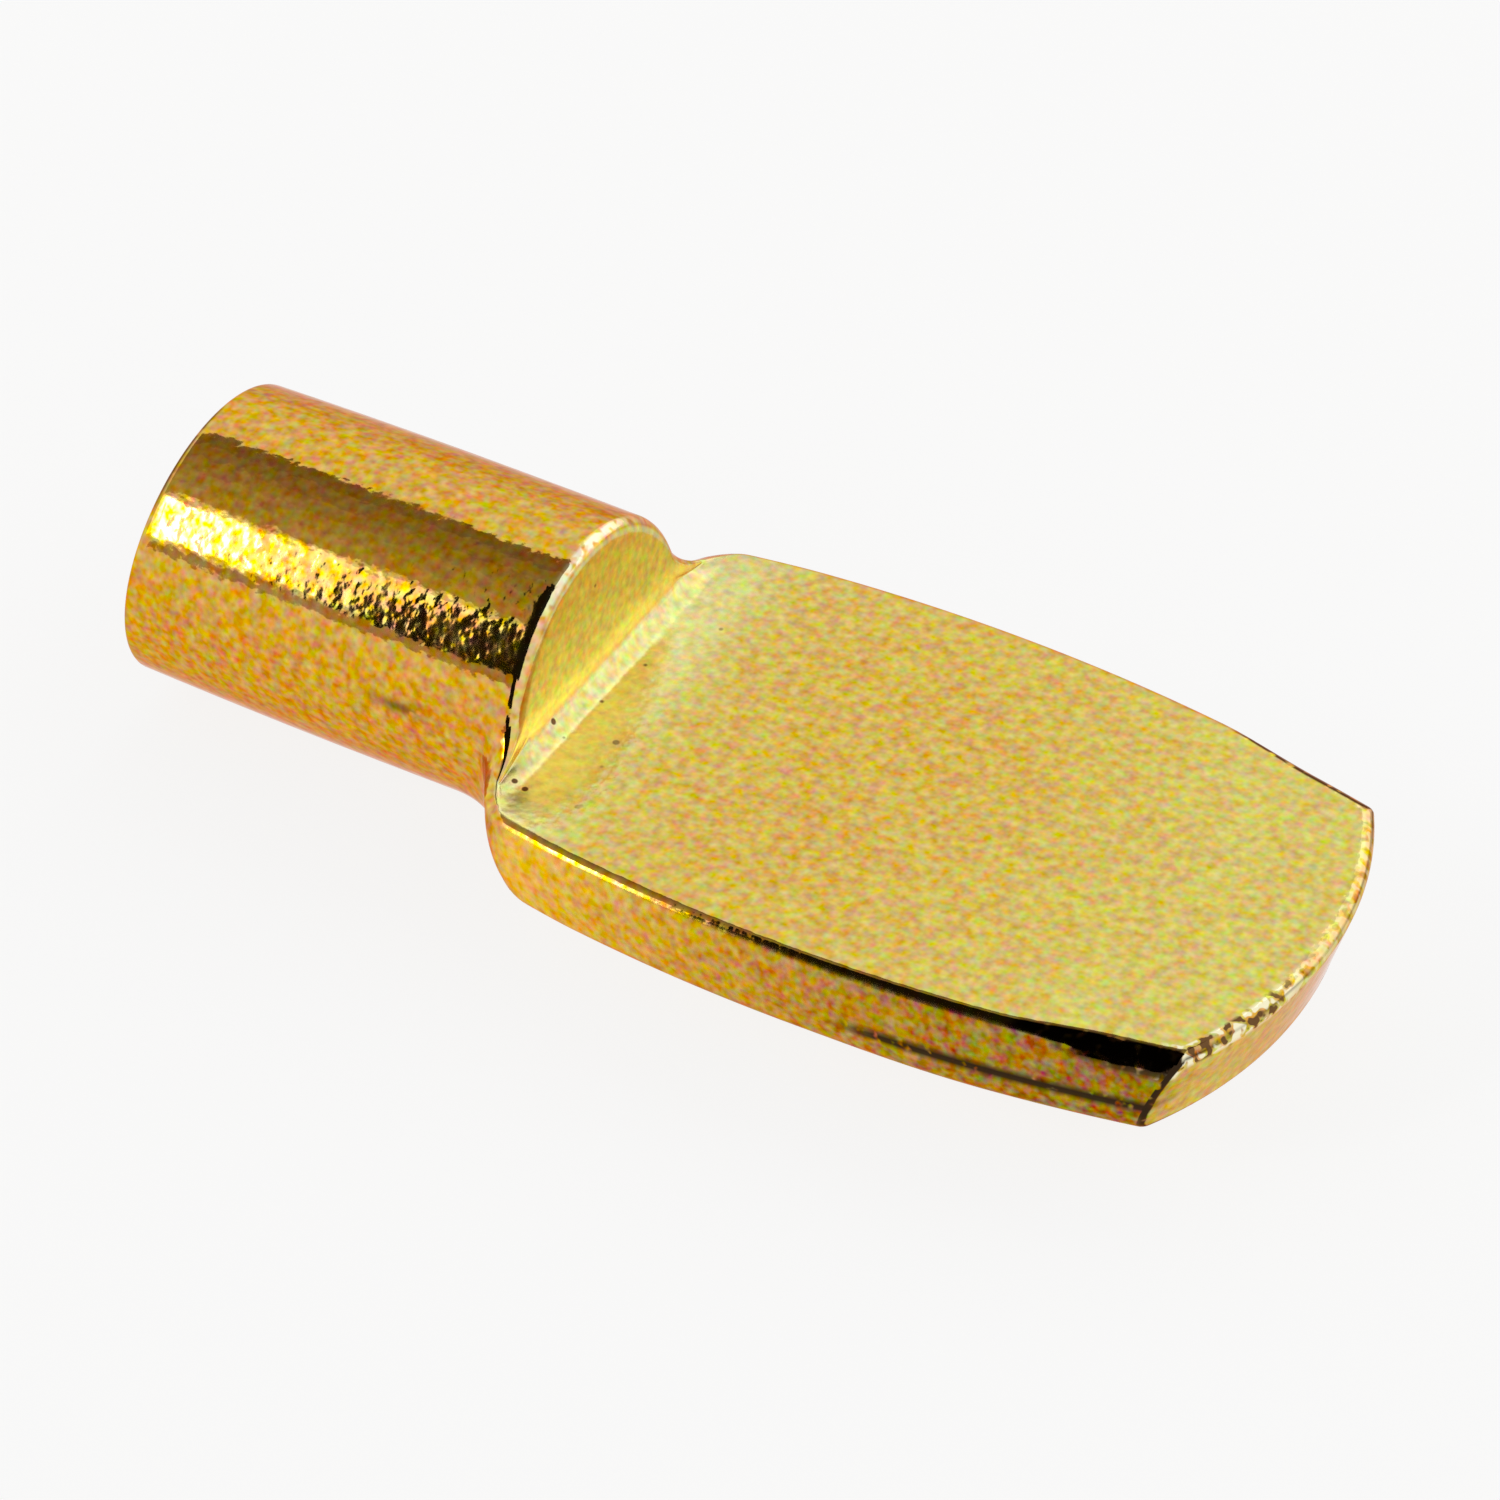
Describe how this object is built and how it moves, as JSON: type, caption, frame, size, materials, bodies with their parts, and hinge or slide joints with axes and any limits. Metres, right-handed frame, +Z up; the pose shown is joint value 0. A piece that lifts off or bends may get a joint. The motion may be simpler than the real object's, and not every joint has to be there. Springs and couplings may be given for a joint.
{
  "type": "shelf support pin",
  "caption": "Paddle-shaped shelf pin: a round peg for a drilled cabinet side, coined flat past a sharp shoulder into a rounded blade that carries the shelf.",
  "frame": {"origin": "on the peg's axis where the straight peg ends, at the face of the cabinet side, level with the face the shelf lies on", "axes": "+X out of the cabinet side along the peg's axis to the blade's tip, +Y across the blade, +Z up towards the shelf"},
  "size_m": [0.0252, 0.0104, 0.0064],
  "materials": {
    "brass_plate": "satin brass plating over steel"
  },
  "bodies": {
    "root": {"shelf_pin": "brass_plate"}
  },
  "joints": []
}
